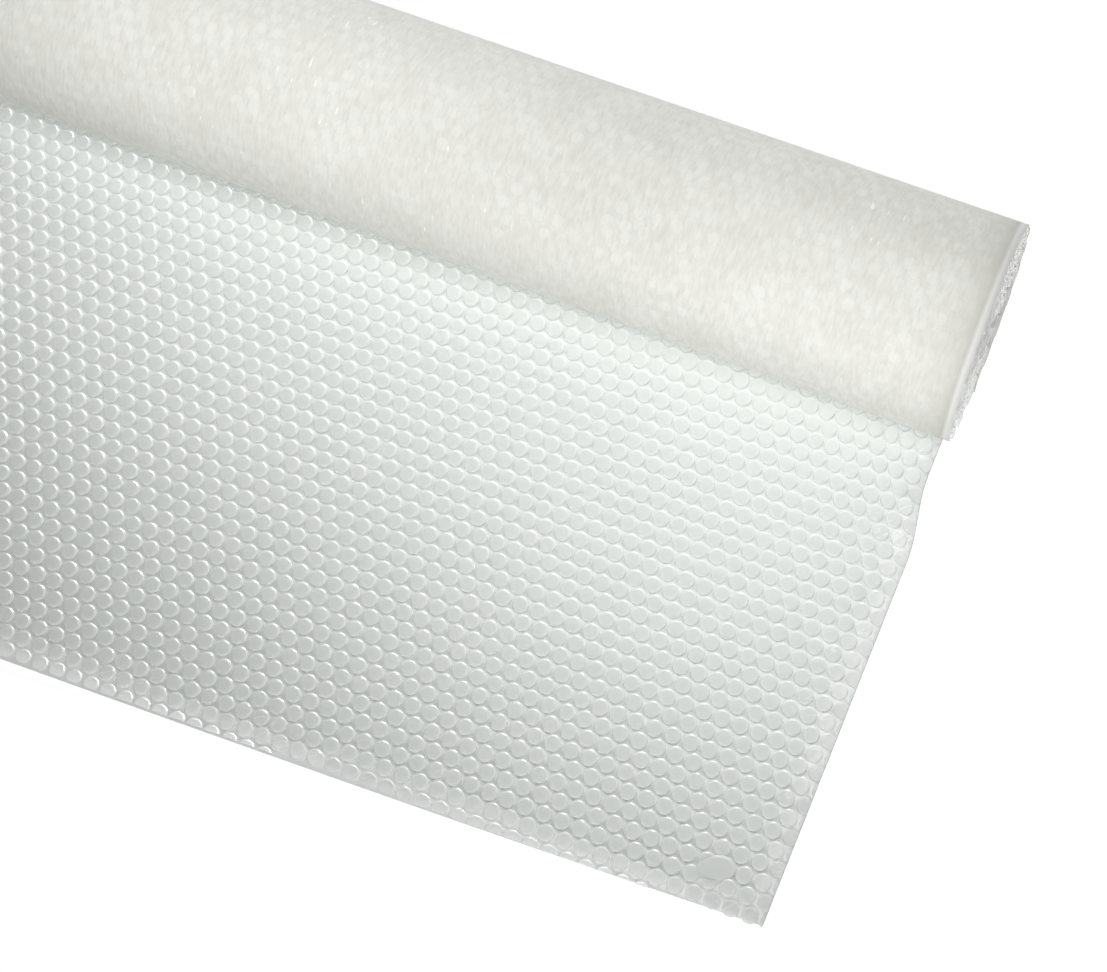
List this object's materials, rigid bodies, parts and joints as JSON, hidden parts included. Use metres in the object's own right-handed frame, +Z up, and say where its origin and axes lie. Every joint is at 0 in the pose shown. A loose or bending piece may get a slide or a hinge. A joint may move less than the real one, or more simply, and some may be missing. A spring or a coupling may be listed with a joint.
{
  "type": "bubble film roll",
  "caption": "Coreless roll of clear bubble film lying on its side, with its free end drawn out from under the roll and laid flat in front.",
  "frame": {"origin": "middle of the underside of the roll and its laid sheet together, on the surface that it rests on", "axes": "+X along the roll, -Y to the cut front edge of the laid sheet, +Z up"},
  "size_m": [0.75, 0.4532, 0.1261],
  "materials": {
    "bubble_film": "clear low-density polyethylene bubble film, milky where it lies in many layers"
  },
  "bodies": {
    "root": {"bubble_film_roll": "bubble_film"}
  },
  "joints": []
}
